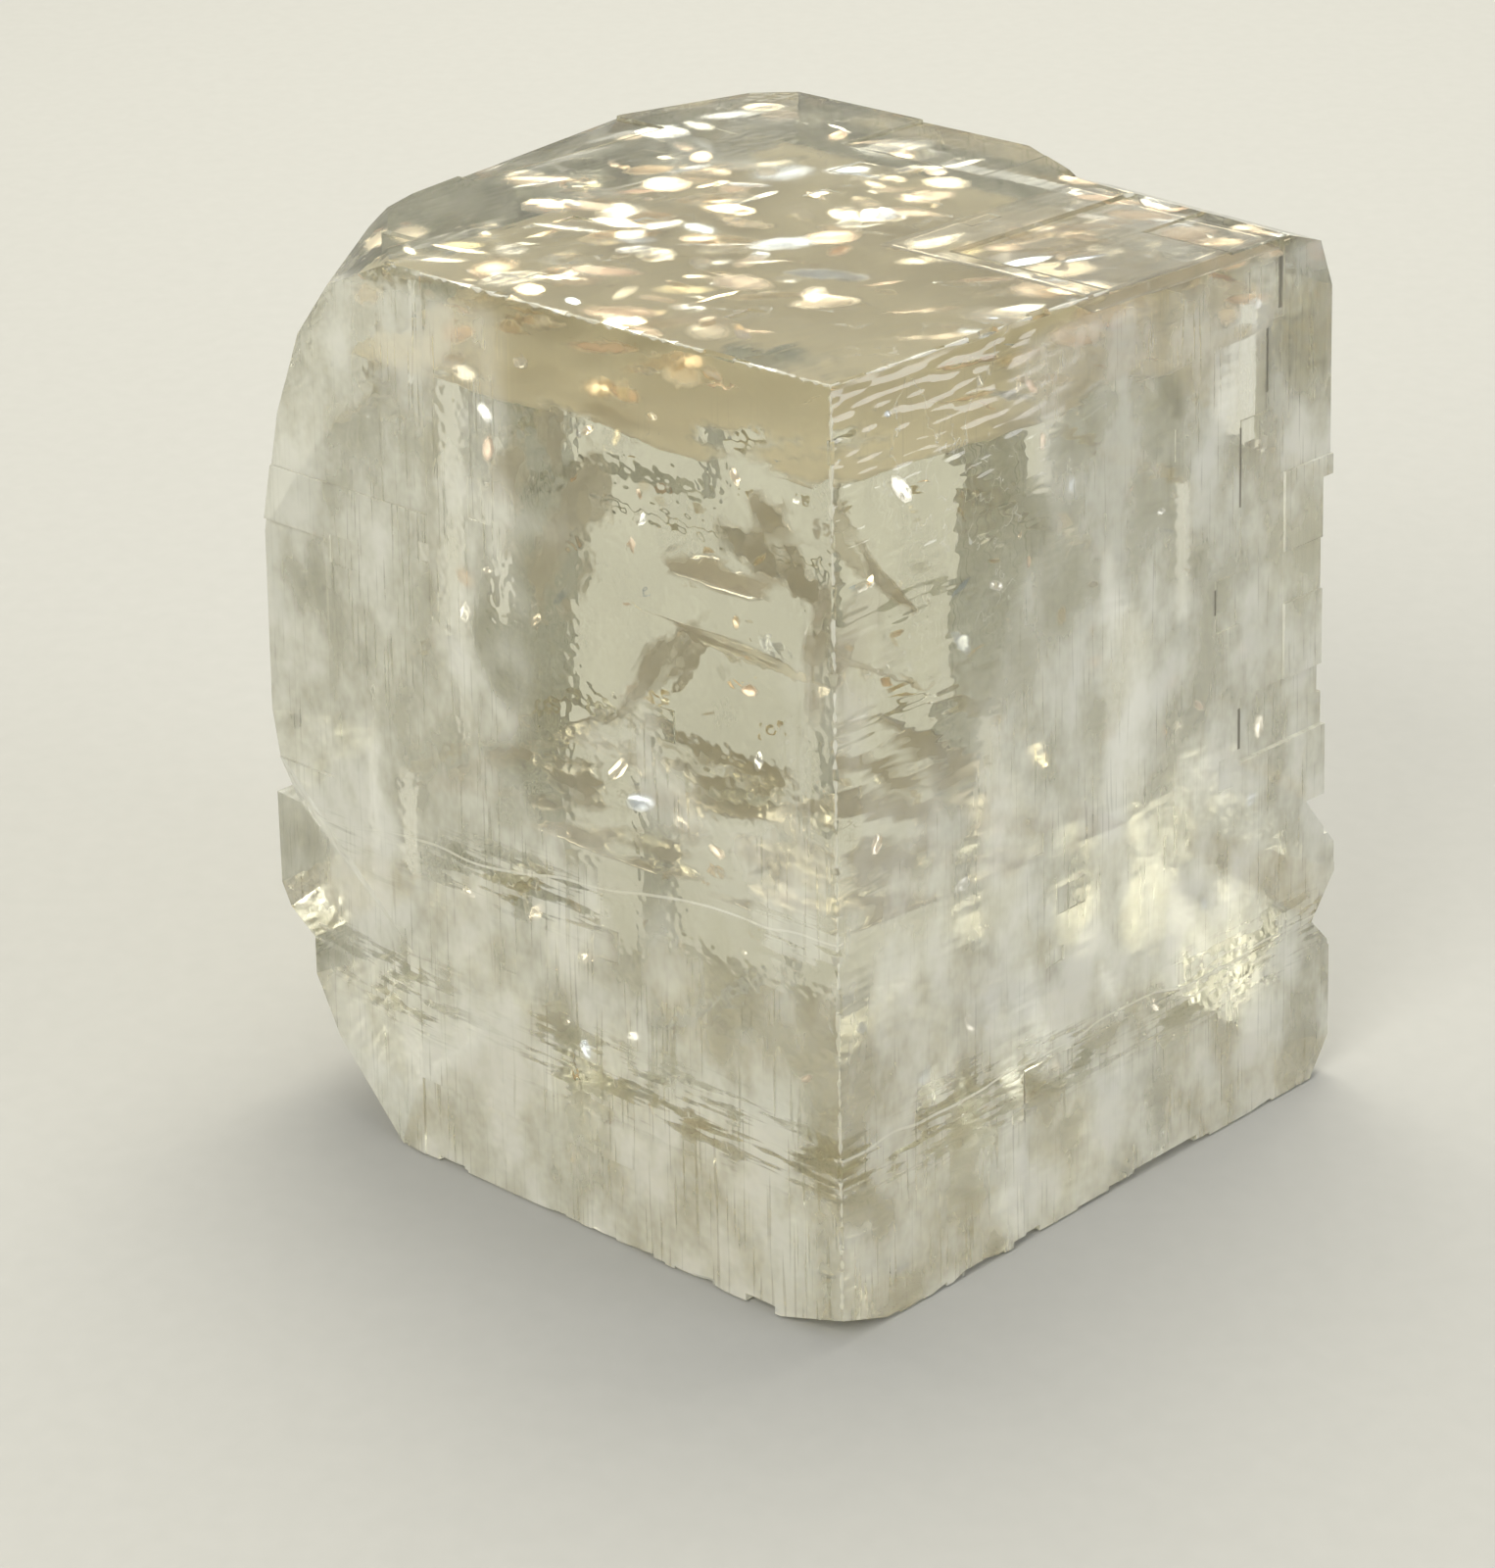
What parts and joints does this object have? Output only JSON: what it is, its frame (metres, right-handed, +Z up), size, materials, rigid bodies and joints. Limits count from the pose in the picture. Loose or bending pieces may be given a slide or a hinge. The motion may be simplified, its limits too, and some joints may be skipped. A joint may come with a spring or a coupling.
{
  "type": "calcite cleavage block specimen",
  "caption": "Large clear-to-milky calcite cleavage rhomb with flat leaning faces, stepped edges, a rounded fractured corner and fine chips, standing on a cleavage face.",
  "frame": {"origin": "centre of the bounding box on the plane of the resting face", "axes": "+Z up from the resting face, which is a cleavage face; -Y towards the sharp front edge between the two large front faces; +X to the right seen from the front"},
  "size_m": [0.1352, 0.1408, 0.1039],
  "materials": {
    "clear_calcite": "clear colourless to faintly honey-coloured calcite with milky veils and internal cleavage cracks, glossy cleavage faces"
  },
  "bodies": {
    "root": {"calcite_block": "clear_calcite"}
  },
  "joints": []
}
